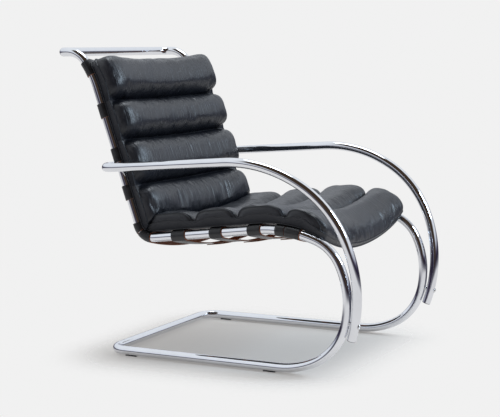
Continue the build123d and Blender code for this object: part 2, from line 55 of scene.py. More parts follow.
bl_info = {
    "name": "Cantilever lounge chair",
    "version": (1, 0, 0),
    "blender": (4, 5, 0),
    "location": "View3D > Sidebar > Chair",
    "description": "Builds the straps, pads and finishes of a bent tube lounge chair",
    "category": "Object",
}

BODY = "root"

# ---- the tube's path, as the frame is bent ------------------------------------------------------
TUBE_R = 0.012
FRAME_HALF_WIDTH = 0.262
FLOOR_RAIL_START = (0.2584, 0.0135)           # y and z where the floor rail leaves its rear corner
FLOOR_RAIL = 0.4764
FRONT_BENDS = ((0.2399, 25.0), (0.1555, 50.0), (0.2233, 40.0), (0.1135, 45.0), (0.3543, 26.47))
SEAT_RAIL = 0.3174
FOLD_BEND = (0.045, 78.3)                     # radius and turn between the seat and the back
BACK_RAIL = 0.3875
TOP_BENDS = ((0.250, 18.0), (0.070, 53.83))

# ---- straps -------------------------------------------------------------------------------------
# start and width of each strap along the rail: forward from the seat end of the fold's bend
SEAT_STRAPS = ((0.060, 0.042), (0.177, 0.037), (0.290, 0.038), (0.370, 0.026), (0.3966, 0.0424))
CORNER_STRAP = (0.008, 0.034)                 # measured the other way, into the bend
# and upwards from the back end of the bend
BACK_STRAPS = ((-0.017, 0.025), (0.0725, 0.040), (0.1785, 0.039), (0.303, 0.040), (0.424, 0.042))
SEAT_DIPS = (0.021, 0.045)                    # of the loaded run and of the slack return run
BACK_DIPS = (0.015, 0.018)
SEAT_TONGUES, BACK_TONGUES = (2, 3, 4, 6), (2, 3, 4)   # the straps whose ends are buckled
TONGUE_ENDS = (-0.0185, -0.1135)              # across the chair: in its buckle, and its point
TONGUE_POINT = 0.016                          # length of the rounded point
TONGUE_THICKNESS = 0.0024
TONGUE_NARROWER = 0.004                       # than its strap
TONGUE_GAP = 0.0042                           # from the strap's inner face to the tongue's
TONGUE_TIP = 0.12                             # least half width at the point, as a share of the whole
TONGUE_GRID = (40, 10)                        # vertices along and across
TONGUE_HOLES = (0.040, 0.055, 0.070)          # from the buckled end
HOLE_DEPTH, HOLE_R = 0.0008, 0.003            # the holes are only pressed in
STRAP_ARC_STEPS, STRAP_TURN_STEPS = 40, 22    # along a run, and round a tube
STRAP_WIDTH_STEPS = 6
STRAP_CLEAR = 0.0001                          # between a strap and its tube
STRAP_ROUNDING = 0.0006                       # of a strap's edges
STRAP_DRIFT = 0.0009                          # furthest that a strap's edge strays from straight
DRIFT_SCALE = (9.0, 7.0, 3.7)                 # across the chair, along the rail, and from strap to strap

# ---- pads ---------------------------------------------------------------------------------------
SEAT_SEAMS = (0.128, 0.256, 0.390, 0.496)     # along the rail from the ends of the fold's bend
BACK_SEAMS = (0.104, 0.231, 0.342, 0.455)
PAD_BASE = 0.0165                             # underside of a pad above the rail's centreline
FOLD_GAP = 0.0004
PAD_CORNER_R = 0.018                          # the far corners of each pad, seen from above
FRONT_DROOP = (0.440, 0.490)                  # stations over which the seat's front droops
FRONT_REST = (0.438, 0.452)                   # past the last strap the pad comes to rest on the tube
FRONT_SETTLED = 0.004
ROLL_STEPS = 20                               # rows of the sheet over one roll
SIDE_STEPS = 96                               # columns between the two ends of a roll
SIDE_MIDDLE = 0.945                           # share of the half width that these columns span
END_COLUMNS = (0.958, 0.969, 0.978, 0.985, 0.9905, 0.995, 0.998, 1.0)
ROLL_SQUARE = 4.0                             # how full a roll is beside its seams
SEAT_EDGE_SQUARE = 2.5                        # beside the seat's front edge it falls away
BACK_EDGE_SQUARE = 7.0                        # and at the top of the back it is nearly square
SEAT_END_SQUARE = 70                          # the seat's rolls are nearly square at their ends
BACK_END_SQUARE = 13                          # and the back's are softer
SCALLOP_SQUARE = 8                            # how close to the sides the band's scallops stay
PAINTED_SHADE_UNDERSIDE = (-0.95, 0.0)                 # across a back roll: where the painted shade (a weaker reflection) is full, and from where it is gone
ARCH_SIDE = 0.985                             # where the cord arches over the ends of the seat's rolls
CORD_SIDES = 8

# ---- cloth simulation ---------------------------------------------------------------------------
PUFF_FRAMES = 20
PUFF = {"quality": 6, "mass": 0.4, "bending_stiffness": 0.25, "vertex_group_mass": "sewn",
        "shrink_min": -0.022, "use_pressure": True, "uniform_pressure_force": 4.0}


class Leg:
    """One straight or one arc of a path in the side plane; turn is in degrees, left positive."""

    def __init__(self, y, z, heading, length, turn):
        self.y, self.z, self.heading = y, z, heading
        self.length, self.turn = length, turn
        self.radius = length / radians(turn) if turn else None

    def at(self, distance):
        """Position and heading a distance along the leg, which may run past either end."""
        h = radians(self.heading)
        if not self.turn:
            return self.y + distance * cos(h), self.z + distance * sin(h), self.heading
        cy, cz = self.y - self.radius * sin(h), self.z + self.radius * cos(h)
        h += distance / self.radius
        return cy + self.radius * sin(h), cz - self.radius * cos(h), degrees(h)


def bend(radius, turn):
    return radius * radians(abs(turn)), turn


def trace(y, z, heading, moves):
    """Legs that follow one another without a corner."""
    legs = []
    for length, turn in moves:
        legs.append(Leg(y, z, heading, length, turn))
        y, z, heading = legs[-1].at(length)
    return legs


def reverse(legs):
    """The same path walked the other way."""
    y, z, heading = legs[-1].at(legs[-1].length)
    return trace(y, z, heading + 180.0, [(leg.length, -leg.turn) for leg in reversed(legs)])


class Rail:
    """A run of legs; up is 1 where the sitter is on the left of the walk and -1 on the right."""

    def __init__(self, legs, up):
        self.legs, self.up = legs, up

    def at(self, station):
        for leg in self.legs[:-1]:
            if station <= leg.length:
                return leg.at(station)
            station -= leg.length
        return self.legs[-1].at(station)

    def point(self, x, station, height):
        """The point a height from the path, on the sitter's side."""
        y, z, heading = self.at(station)
        h = radians(heading)
        return Vector((x, y - self.up * height * sin(h), z + self.up * height * cos(h)))


def chair_rails():
    """The seat's and the back's rails from the middle of the fold, and the whole run for straps."""
    floor = trace(*FLOOR_RAIL_START, 180.0,
                  [(FLOOR_RAIL, 0.0)] + [bend(r, -turn) for r, turn in FRONT_BENDS])
    fold_length, fold_turn = bend(*FOLD_BEND)
    half = (fold_length / 2, fold_turn / 2)
    rest = trace(*floor[-1].at(floor[-1].length),
                 [(SEAT_RAIL, 0.0), half, half, (BACK_RAIL, 0.0)]
                 + [bend(r, -turn) for r, turn in TOP_BENDS])
    seat = Rail(reverse(floor[-2:] + rest[:2]), -1)
    back = Rail(rest[2:], 1)
    run = Rail(floor[-2:] + rest, 1)
    fold_start = sum(leg.length for leg in run.legs[:3])
    return seat, back, run, fold_start, fold_length


SEAT, BACK, RUN, FOLD_START, FOLD_LENGTH = chair_rails()


# ---- settings -----------------------------------------------------------------------------------
def length_setting(name, default, description):
    return bpy.props.FloatProperty(name=name, description=description, default=default,
                                   min=0.0, unit="LENGTH", subtype="DISTANCE")


def colour_setting(name, default, description):
    return bpy.props.FloatVectorProperty(name=name, description=description, default=default,
                                         size=3, min=0.0, max=1.0, subtype="COLOR")


class ChairSizes(bpy.types.PropertyGroup):
    """Sizes that a user may change without leaving the frame."""
    seat_half_width: length_setting("Seat half width", 0.2665, "Middle of the chair to the seat's side")
    back_half_width: length_setting("Back half width", 0.275, "Middle of the chair to the back's side")
    seat_roll_top: length_setting("Seat roll top", 0.0655, "Crown of a seat roll above the rail")
    back_roll_top: length_setting("Back roll top", 0.0820, "Crown of a back roll above the rail")
    band: length_setting("Side band", 0.0165, "Height of the sewn band round a pad")
    seat_scallop: length_setting("Seat scallop", 0.009, "Rise of the seat's band under each roll")
    back_scallop: length_setting("Back scallop", 0.005, "Rise of the back's band under each roll")
    pad_sag: length_setting("Pad sag", 0.026, "Depth that the straps let a pad down in the middle")
    seat_sag: length_setting("Seat sag", 0.032, "The same on the seat, away from the fold")
    front_sag: length_setting("Front sag", 0.050, "The same at the seat's front edge")
    back_fill: length_setting("Back fill", 0.004, "The back's rolls are this much fuller in the middle")
    seam_rise: length_setting("Seam rise", 0.004, "The back's inner seams stand this much higher")
    front_swell: length_setting("Front swell", 0.025, "The front edge stands out in the middle")
    swell_cap: length_setting("Swell cap", 0.006, "Furthest that the leather may puff or wrinkle")
    cord: length_setting("Edge cord", 0.0034, "Diameter of the sewn cord along a pad's edges")
    strap: length_setting("Strap thickness", 0.003, "Thickness of the saddle leather")


class ChairColours(bpy.types.PropertyGroup):
    """Colours of the finishes."""
    pad: colour_setting("Pad leather", (0.0120, 0.0140, 0.0200), "Soft black leather")
    strap: colour_setting("Strap leather", (0.016, 0.016, 0.018), "Black saddle leather")
    flesh: colour_setting("Flesh side", (0.36, 0.115, 0.035), "Rough inner side of the straps")
    edge: colour_setting("Cut edge", (0.30, 0.085, 0.025), "Burnished edges of the straps")
    chrome: colour_setting("Chrome", (0.80, 0.81, 0.84), "Bright plating on the tubes")
    plastic: colour_setting("Plastic", (0.02, 0.02, 0.021), "Plugs and glides")
    ground: colour_setting("Ground", (0.879, 0.879, 0.879), "Pale floor and background")


def sizes():
    return bpy.context.scene.chair_sizes


def colours():
    return bpy.context.scene.chair_colours


# ---- node helpers -------------------------------------------------------------------------------
class Net:
    """A short hand for the nodes and links of one tree."""

    def __init__(self, tree):
        self.tree = tree

    def add(self, kind, inputs=(), **settings):
        made = self.tree.nodes.new(kind)
        for key, value in settings.items():
            setattr(made, key, value)
        for key, value in dict(inputs).items():
            self.feed(made.inputs[key], value)
        return made

    def feed(self, socket, value):
        if isinstance(value, bpy.types.NodeSocket):
            self.tree.links.new(value, socket)
        else:
            socket.default_value = value

    def math(self, operation, first, second):
        return self.add("ShaderNodeMath", {0: first, 1: second}, operation=operation).outputs[0]

    def remap(self, value, low, high, to_low=0.0, to_high=1.0):
        return self.add("ShaderNodeMapRange", {"Value": value, "From Min": low, "From Max": high,
                                               "To Min": to_low, "To Max": to_high}).outputs["Result"]

    def mix(self, factor, first, second):
        made = self.add("ShaderNodeMix", data_type="RGBA")
        self.feed(made.inputs[0], factor)
        self.feed(made.inputs[6], first)
        self.feed(made.inputs[7], second)
        return made.outputs[2]

    def stretch(self, vector, scale):
        return self.add("ShaderNodeMapping", {"Vector": vector, "Scale": scale}).outputs["Vector"]


def rgba(colour):
    return (*colour, 1.0)


def shader_group(name, inputs, outputs):
    """A new group with its sockets; returns the tree's net, its input node and its output node."""
    tree = bpy.data.node_groups.new(name, "ShaderNodeTree")
    for label, kind, default in inputs:
        made = tree.interface.new_socket(label, in_out="INPUT", socket_type="NodeSocket" + kind)
        if default is not None:
            made.default_value = default
    for label, kind in outputs:
        tree.interface.new_socket(label, in_out="OUTPUT", socket_type="NodeSocket" + kind)
    net = Net(tree)
    return net, net.add("NodeGroupInput").outputs, net.add("NodeGroupOutput").inputs


def grain_group():
    """Pebbled leather grain with pores: a height and a mask of its hollows."""
    net, given, out = shader_group(
        "leather_grain",
        [("Vector", "Vector", None), ("Scale", "Float", 900.0), ("Uneven", "Float", 0.4)],
        [("Height", "Float"), ("Hollows", "Float")])
    wobble = net.add("ShaderNodeTexNoise", {"Vector": given["Vector"], "Scale": 60.0, "Detail": 2.0})
    cells = net.add("ShaderNodeTexVoronoi", {"Vector": given["Vector"], "Scale": given["Scale"],
                                             "Randomness": 1.0}, feature="DISTANCE_TO_EDGE")
    fine = net.add("ShaderNodeTexNoise", {"Vector": given["Vector"], "Scale": given["Scale"],
                                          "Detail": 3.0})
    pebble = net.remap(cells.outputs["Distance"], 0.0, 0.28)
    uneven = net.math("MULTIPLY", wobble.outputs["Fac"], given["Uneven"])
    height = net.math("ADD", net.math("MULTIPLY", pebble, 0.6),
                      net.math("MULTIPLY", fine.outputs["Fac"], 0.4))
    net.feed(out["Height"], net.math("ADD", height, uneven))
    net.feed(out["Hollows"], net.math("SUBTRACT", 1.0, pebble))
    return net.tree


def marks_group():
    """Handling marks: broad smudges and small specks of dust, as two masks."""
    net, given, out = shader_group(
        "handling_marks",
        [("Vector", "Vector", None), ("Smudge Scale", "Float", 14.0), ("Speck Scale", "Float", 700.0)],
        [("Smudges", "Float"), ("Specks", "Float")])
    broad = net.add("ShaderNodeTexNoise", {"Vector": given["Vector"], "Scale": given["Smudge Scale"],
                                           "Detail": 5.0, "Roughness": 0.62, "Distortion": 0.6})
    dust = net.add("ShaderNodeTexNoise", {"Vector": given["Vector"], "Scale": given["Speck Scale"],
                                          "Detail": 1.0})
    net.feed(out["Smudges"], net.remap(broad.outputs["Fac"], 0.42, 0.68))
    net.feed(out["Specks"], net.remap(dust.outputs["Fac"], 0.70, 0.78))
    return net.tree


GROUPS = {}


def group(net, name, inputs):
    """Places a shared group, which is built the first time that it is needed."""
    if name not in GROUPS:
        GROUPS[name] = {"leather_grain": grain_group, "handling_marks": marks_group}[name]()
    made = net.add("ShaderNodeGroup")
    made.node_tree = GROUPS[name]
    for key, value in inputs.items():
        net.feed(made.inputs[key], value)
    return made.outputs


def new_material(name):
    """A material with its net, its principled shader and its Object coordinates."""
    made = bpy.data.materials.new(name)
    made.use_nodes = True
    made.node_tree.nodes.clear()
    net = Net(made.node_tree)
    shader = net.add("ShaderNodeBsdfPrincipled")
    net.add("ShaderNodeOutputMaterial", {"Surface": shader.outputs[0]})
    place = net.add("ShaderNodeTexCoord")
    return made, net, shader.inputs, place.outputs


def bump(net, height, strength, depth, under=None):
    made = net.add("ShaderNodeBump", {"Height": height, "Strength": strength, "Distance": depth})
    if under is not None:
        net.feed(made.inputs["Normal"], under)
    return made.outputs["Normal"]


# ---- materials ----------------------------------------------------------------------------------
def chrome_finish():
    """Bright chrome plate: clear reflections under a faint haze of smudges."""
    made, net, shader, place = new_material("chrome_plate")
    marks = group(net, "handling_marks", {"Vector": place["Object"]})
    tone = net.mix(marks["Smudges"], rgba(colours().chrome),
                   rgba([c * 0.95 for c in colours().chrome]))
    net.feed(shader["Base Color"], tone)
    shader["Metallic"].default_value = 1.0
    haze = net.remap(marks["Smudges"], 0.0, 1.0, 0.035, 0.075)
    net.feed(shader["Roughness"], net.math("ADD", haze, net.math("MULTIPLY", marks["Specks"], 0.08)))
    ripple = net.add("ShaderNodeTexNoise", {"Vector": place["Object"], "Scale": 22.0, "Detail": 1.0})
    net.feed(shader["Normal"], bump(net, ripple.outputs["Fac"], 0.05, 0.0006))
    return made


def steel_finish():
    """Polished steel of screws, spacers and buckles, with fine turning lines."""
    made, net, shader, place = new_material("polished_steel")
    marks = group(net, "handling_marks", {"Vector": place["Object"], "Smudge Scale": 60.0})
    net.feed(shader["Base Color"], net.mix(marks["Smudges"], (0.70, 0.70, 0.71, 1), (0.58, 0.58, 0.60, 1)))
    shader["Metallic"].default_value = 1.0
    net.feed(shader["Roughness"], net.remap(marks["Smudges"], 0.0, 1.0, 0.12, 0.24))
    fine = net.add("ShaderNodeTexNoise", {"Vector": net.stretch(place["Object"], (1.0, 40.0, 1.0)),
                                          "Scale": 90.0, "Detail": 2.0})
    net.feed(shader["Normal"], bump(net, fine.outputs["Fac"], 0.1, 0.0002))
    return made


def plastic_finish():
    """Moulded black plastic with a fine spark texture."""
    made, net, shader, place = new_material("black_plastic")
    fine = net.add("ShaderNodeTexNoise", {"Vector": place["Object"], "Scale": 1600.0, "Detail": 2.0})
    dark = rgba(colours().plastic)
    pale = rgba([c * 1.6 for c in colours().plastic])
    net.feed(shader["Base Color"], net.mix(fine.outputs["Fac"], dark, pale))
    net.feed(shader["Roughness"], net.remap(fine.outputs["Fac"], 0.3, 0.7, 0.38, 0.52))
    net.feed(shader["Normal"], bump(net, fine.outputs["Fac"], 0.25, 0.0001))
    return made


def pad_finish():
    """Soft black leather: grain, pull creases across the rolls, and painted shade on the undersides of the
    back's rolls, where the reflection is made weaker.
    """
    made, net, shader, place = new_material("pad_leather")
    grain = group(net, "leather_grain", {"Vector": place["Object"], "Scale": 620.0, "Uneven": 0.5})
    marks = group(net, "handling_marks", {"Vector": place["Object"], "Smudge Scale": 9.0})
    flat = net.add("ShaderNodeUVMap", uv_map="leather").outputs["UV"]
    folds = net.add("ShaderNodeTexNoise", {"Vector": net.stretch(flat, (150.0, 9.0, 1.0)),
                                           "Scale": 1.0, "Detail": 3.0, "Distortion": 0.25})
    fine_folds = net.add("ShaderNodeTexNoise", {"Vector": net.stretch(flat, (420.0, 26.0, 1.0)),
                                                "Scale": 1.0, "Detail": 2.0})
    pull = net.remap(folds.outputs["Fac"], 0.40, 0.62)
    base = colours().pad
    worn = net.mix(marks["Smudges"], rgba(base), rgba([c * 1.35 for c in base]))
    net.feed(shader["Base Color"], net.mix(net.math("MULTIPLY", grain["Hollows"], 0.5), worn,
                                           rgba([c * 0.45 for c in base])))
    rough = net.remap(marks["Smudges"], 0.0, 1.0, 0.26, 0.36)
    net.feed(shader["Roughness"], net.math("ADD", rough, net.math("MULTIPLY", grain["Hollows"], 0.10)))
    # painted shade: the reflection is weaker on the undersides of the back's rolls, from 0.75 down to 0.22
    reflection_unshaded = net.add("ShaderNodeAttribute", attribute_name="reflection_unshaded").outputs["Fac"]
    net.feed(shader["Specular IOR Level"], net.remap(reflection_unshaded, 0.0, 1.0, 0.22, 0.75))
    creased = bump(net, pull, 0.55, 0.0013)
    creased = bump(net, fine_folds.outputs["Fac"], 0.40, 0.0005, creased)
    net.feed(shader["Normal"], bump(net, grain["Height"], 0.55, 0.00022, creased))
    return made


def strap_finishes():
    """Grain side, flesh side and cut edge of the saddle leather."""
    return [strap_grain(), strap_flesh(), strap_edge()]


def strap_grain():
    """The black outer side, with a fine even grain."""
    made, net, shader, place = new_material("strap_grain_side")
    grain = group(net, "leather_grain", {"Vector": place["Object"], "Scale": 1100.0, "Uneven": 0.2})
    marks = group(net, "handling_marks", {"Vector": place["Object"], "Smudge Scale": 30.0})
    base = colours().strap
    net.feed(shader["Base Color"], net.mix(marks["Smudges"], rgba(base), rgba([c * 1.7 for c in base])))
    net.feed(shader["Roughness"], net.remap(marks["Smudges"], 0.0, 1.0, 0.33, 0.5))
    net.feed(shader["Normal"], bump(net, grain["Height"], 0.35, 0.00012))
    return made


def strap_flesh():
    """The rough tan side that lies on the tubes."""
    made, net, shader, place = new_material("strap_flesh_side")
    nap = net.add("ShaderNodeTexNoise", {"Vector": place["Object"], "Scale": 380.0, "Detail": 6.0})
    patch = net.add("ShaderNodeTexNoise", {"Vector": place["Object"], "Scale": 24.0, "Detail": 3.0})
    base = colours().flesh
    tone = net.mix(patch.outputs["Fac"], rgba([c * 0.62 for c in base]), rgba([c * 1.2 for c in base]))
    net.feed(shader["Base Color"], net.mix(nap.outputs["Fac"], tone, rgba(base)))
    net.feed(shader["Roughness"], net.remap(nap.outputs["Fac"], 0.2, 0.8, 0.68, 0.86))
    net.feed(shader["Normal"], bump(net, nap.outputs["Fac"], 0.5, 0.0003))
    return made


def strap_edge():
    """The burnished cut edges, with the leather's layers showing."""
    made, net, shader, place = new_material("strap_cut_edge")
    layers = net.add("ShaderNodeTexNoise", {"Vector": place["Object"], "Scale": 260.0, "Detail": 4.0})
    base = colours().edge
    net.feed(shader["Base Color"], net.mix(net.remap(layers.outputs["Fac"], 0.35, 0.7),
                                           rgba([c * 0.5 for c in base]), rgba([c * 1.15 for c in base])))
    net.feed(shader["Roughness"], net.remap(layers.outputs["Fac"], 0.3, 0.7, 0.42, 0.6))
    net.feed(shader["Normal"], bump(net, layers.outputs["Fac"], 0.3, 0.0002))
    return made


def cord_finish():
    """Thin leather rolled round a cord, with its grain."""
    made, net, shader, place = new_material("edge_cord_leather")
    grain = group(net, "leather_grain", {"Vector": place["Object"], "Scale": 900.0, "Uneven": 0.5})
    base = colours().pad
    net.feed(shader["Base Color"], net.mix(grain["Hollows"], rgba([c * 1.3 for c in base]),
                                           rgba([c * 0.6 for c in base])))
    net.feed(shader["Roughness"], net.remap(grain["Hollows"], 0.0, 1.0, 0.36, 0.5))
    net.feed(shader["Normal"], bump(net, grain["Height"], 0.4, 0.0002))
    return made


# ---- piece helpers ------------------------------------------------------------------------------
def give(obj, materials):
    """An object's materials, in the order of their slots."""
    obj.data.materials.clear()
    for made in materials:
        obj.data.materials.append(made)


def dress(node, material):
    """A frame part keeps its shape and gets its finish."""
    give(frame["nodes"][node], [material])


def make_piece(bm, name, materials, replaced=()):
    """A finished bmesh becomes a piece that rides on the chair."""
    mesh = bpy.data.meshes.new(name)
    bm.to_mesh(mesh)
    bm.free()
    obj = bpy.data.objects.new(name, mesh)
    bpy.context.scene.collection.objects.link(obj)
    for polygon in mesh.polygons:
        polygon.use_smooth = True
    give(obj, materials)
    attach(obj, BODY)
    if replaced:
        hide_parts(*replaced)
    return obj


def extend(bm, edges):
    """One more ring beyond these edges: its vertices and its edges."""
    made = bmesh.ops.extrude_edge_only(bm, edges=edges)["geom"]
    fresh = [item for item in made if isinstance(item, bmesh.types.BMVert)]
    far = [item for item in made if isinstance(item, bmesh.types.BMEdge)
           and all(v in fresh for v in item.verts)]
    return fresh, far


def thicken(obj, thickness, offset):
    """Gives a sheet its thickness, with the second material inside and the third on the rim."""
    wall = obj.modifiers.new("thickness", "SOLIDIFY")
    wall.thickness = thickness
    wall.offset = offset
    wall.material_offset = 1
    wall.material_offset_rim = 2


# ---- straps -------------------------------------------------------------------------------------
def slack_centre(dips):
    """Height of the centre of the slack run's arc above the rails."""
    slack = dips[1] - TUBE_R
    return (FRAME_HALF_WIDTH ** 2 - slack ** 2) / (2 * slack)


def arc_points(centre, radius, start, end, count):
    """Points on an arc, its end left out; angles in radians."""
    cx, cy = centre
    turns = (start + (end - start) * i / count for i in range(count))
    return [(cx + radius * cos(a), cy + radius * sin(a)) for a in turns]


def strap_outline(dips, thickness):
    """Outer face of a strap round both rails: (x, height), anticlockwise from the loaded run's right."""
    loaded_dip, slack_dip = dips
    c, r = FRAME_HALF_WIDTH, TUBE_R
    drop = r + loaded_dip
    high = (c * c - drop * drop) / (2 * drop)
    low = slack_centre(dips)
    outer = r + thickness
    loaded_r, slack_r = high + loaded_dip - thickness, low + slack_dip + thickness
    lift = asin(c / (high + loaded_dip + r))
    fall = asin(c / (low + slack_dip - r))
    loaded = arc_points((0.0, high), loaded_r, lift - pi / 2, -lift - pi / 2, STRAP_ARC_STEPS)
    left = arc_points((-c, 0.0), outer, pi / 2 - lift, 3 * pi / 2 - fall, STRAP_TURN_STEPS)
    belly = arc_points((0.0, low), slack_r, 3 * pi / 2 - fall, 3 * pi / 2 + fall, STRAP_ARC_STEPS)
    right = arc_points((c, 0.0), outer, fall - pi / 2, pi / 2 + lift, STRAP_TURN_STEPS)
    return loaded + left + belly + right


def strap_piece(name, start, width, dips, materials, number):
    """One strap, looped round both rails and carried along the rail over its width."""
    outline = strap_outline(dips, sizes().strap)
    rough = Vector(DRIFT_SCALE)
    bm = bmesh.new()
    bmesh.ops.create_circle(bm, cap_ends=False, segments=len(outline), radius=1.0)
    bm.verts.ensure_lookup_table()

    def lay(verts, station):
        for vert, (x, height) in zip(verts, outline):
            drift = STRAP_DRIFT * noise.noise(Vector((x, station, number)) * rough)
            vert.co = RUN.point(x, station + drift, height)

    edges = list(bm.edges)
    lay(list(bm.verts), start)
    for step in range(1, STRAP_WIDTH_STEPS + 1):
        fresh, edges = extend(bm, edges)
        lay(fresh, start + width * step / STRAP_WIDTH_STEPS)
    bmesh.ops.recalc_face_normals(bm, faces=bm.faces)
    probe = max(bm.faces, key=lambda face: face.calc_center_median().x)
    if probe.normal.x < 0:
        bmesh.ops.reverse_faces(bm, faces=bm.faces)
    obj = make_piece(bm, name, materials, [name])
    thicken(obj, sizes().strap - STRAP_CLEAR, -1.0)
    rounding = obj.modifiers.new("edges", "BEVEL")
    rounding.width = STRAP_ROUNDING
    rounding.segments = 2
    rounding.limit_method = "ANGLE"
    rounding.angle_limit = radians(50)


def tongue_height(x, dips):
    """Height of a tongue's inner face above the rail, along the slack run's arc."""
    low = slack_centre(dips)
    return low - sqrt((low + dips[1] + TONGUE_GAP) ** 2 - x ** 2)


def tongue_piece(name, straps, materials):
    """The buckled ends of some straps: thin strips with rounded points and pressed holes."""
    start, end = TONGUE_ENDS
    length = start - end
    columns, rows = TONGUE_GRID
    bm = bmesh.new()
    for station, width, dips in straps:
        made = bmesh.ops.create_grid(bm, x_segments=columns, y_segments=rows, size=1.0)["verts"]
        middle = station + width / 2
        for vert in made:
            along = (vert.co.x + 1) / 2 * length
            past = min(1.0, max(0.0, along - (length - TONGUE_POINT)) / TONGUE_POINT)
            half = (width - TONGUE_NARROWER) / 2 * max(TONGUE_TIP, sqrt(1 - past ** 2))
            hole = min(abs(along - spot) + abs(vert.co.y * half) for spot in TONGUE_HOLES)
            press = HOLE_DEPTH * max(0.0, 1 - hole / HOLE_R)
            x = start - along
            vert.co = RUN.point(x, middle + vert.co.y * half, tongue_height(x, dips) + press)
        away = RUN.point(0.0, middle, -1.0) - RUN.point(0.0, middle, 0.0)
        faces = list({face for vert in made for face in vert.link_faces})
        bm.normal_update()
        if sum(face.normal.dot(away) for face in faces) < 0:
            bmesh.ops.reverse_faces(bm, faces=faces)
    obj = make_piece(bm, name, materials, [name])
    thicken(obj, TONGUE_THICKNESS, 1.0)


def strap_runs():
    """Name, start along the whole run, width and dips of every strap."""
    start, width = CORNER_STRAP
    runs = [("seat_strap_1", FOLD_START + start, width, SEAT_DIPS)]
    for number, (start, width) in enumerate(SEAT_STRAPS, 2):
        runs.append(("seat_strap_%d" % number, FOLD_START - start - width, width, SEAT_DIPS))
    for number, (start, width) in enumerate(BACK_STRAPS, 1):
        runs.append(("back_strap_%d" % number, FOLD_START + FOLD_LENGTH + start, width, BACK_DIPS))
    return runs


# ---- pads ---------------------------------------------------------------------------------------
def ease(value, start, end):
    """0 before start, 1 past end, and even in between."""
    return min(1.0, max(0.0, (value - start) / (end - start)))


class Pad:
    """The lie of one pad: where its seams run, how its rolls stand, and how it sags."""

    def __init__(self, name, rail, seams, **form):
        self.name, self.rail = name, rail
        self.stops = [FOLD_GAP - FOLD_LENGTH / 2, *seams]
        self.half, self.top, self.scallop = form["half"], form["top"], form["scallop"]
        self.swell, self.fill, self.rise = form["swell"], form["fill"], form["rise"]
        self.end_square, self.edge_square = form["end_square"], form["edge_square"]
        self.low = PAD_BASE + sizes().band

    def sag(self, x, station):
        """How far the pad has sunk between the rails at a place."""
        s = sizes()
        depth = s.pad_sag
        if self.rail is SEAT:
            depth += (s.seat_sag - s.pad_sag) * ease(station, 0.0, SEAT_SEAMS[0])
            depth += (s.front_sag - s.seat_sag) * ease(station, *FRONT_DROOP)
            settled = FRONT_SETTLED * ease(station, *FRONT_REST)
        else:
            settled = 0.0
        return settled + depth * (1 - (x / self.half) ** 2)

    def place(self, x, station, height):
        """A point of the pad once it lies on the straps, kept on its own side of the fold."""
        real = height - self.sag(x, station)
        radius, turn = FOLD_BEND
        limit = -FOLD_LENGTH / 2
        if real > radius:
            limit = tan(radians(turn / 2)) * (real - radius) + 4 * FOLD_GAP
        return self.rail.point(x, max(station, limit) + FOLD_LENGTH / 2, real)

    def roll(self, index, across, side):
        """Share of the crown at a place on a roll; across and side run from -1 to 1."""
        square = self.edge_square if index == len(self.stops) - 2 and across > 0 else ROLL_SQUARE
        room = 1 - abs(across) ** square - abs(side) ** self.end_square
        return sqrt(max(0.0, room))

    def station(self, index, across, x):
        """Place along the rail; the far edge swells in the middle and is rounded at its corners."""
        left, right = self.stops[index:index + 2]
        if index == len(self.stops) - 2:
            right += self.swell * (1 - (x / self.half) ** 2)
            past = min(PAD_CORNER_R, max(0.0, abs(x) - (self.half - PAD_CORNER_R)))
            right -= PAD_CORNER_R - sqrt(PAD_CORNER_R ** 2 - past ** 2)
        return (left + right) / 2 + across * (right - left) / 2

    def band_top(self, across, side):
        """The side band rises a little under each roll."""
        return self.low + self.scallop * (1 - across ** 2) * abs(side) ** SCALLOP_SQUARE

    def seam(self, index, across, side):
        """Height of the nearest seam; where two rolls press together it stands higher."""
        inner = 1.0
        if index == 0:
            inner = (1 + across) / 2
        elif index == len(self.stops) - 2:
            inner = (1 - across) / 2
        return self.band_top(across, side) + self.rise * inner * (1 - abs(side) ** self.end_square)

    def height(self, index, across, side):
        """Height of the pad's top before it sags."""
        seam = self.seam(index, across, side)
        top = self.top + self.fill * (1 - side ** 2)
        return seam + (top - seam) * self.roll(index, across, side)

    def reflection_unshaded(self, across):
        """Share of the leather's full reflection: on the undersides of the back's rolls it is cut back as
        painted shade.
        """
        return 1.0 if self.rail is SEAT else ease(across, *PAINTED_SHADE_UNDERSIDE)


def roll_marks(pad):
    """Roll index and place across it for every row of the sheet, closer beside the seams."""
    marks = []
    for index in range(len(pad.stops) - 1):
        for step in range(ROLL_STEPS):
            marks.append((index, sin(pi / 2 * (2 * step / ROLL_STEPS - 1))))
    return marks + [(len(pad.stops) - 2, 1.0)]


def side_marks():
    """Places across the chair from -1 to 1, closer at both ends, where the rolls turn down."""
    plain = [SIDE_MIDDLE * (2 * step / SIDE_STEPS - 1) for step in range(SIDE_STEPS + 1)]
    return [-place for place in reversed(END_COLUMNS)] + plain + list(END_COLUMNS)


def pad_sheet(bm, rows, columns):
    """One flat grid, its vertices in rows by the order of their places."""
    made = bmesh.ops.create_grid(bm, x_segments=columns - 1, y_segments=rows - 1, size=1.0)["verts"]
    made.sort(key=lambda v: (round(v.co.y, 5), round(v.co.x, 5)))
    return [made[row * columns:(row + 1) * columns] for row in range(rows)]


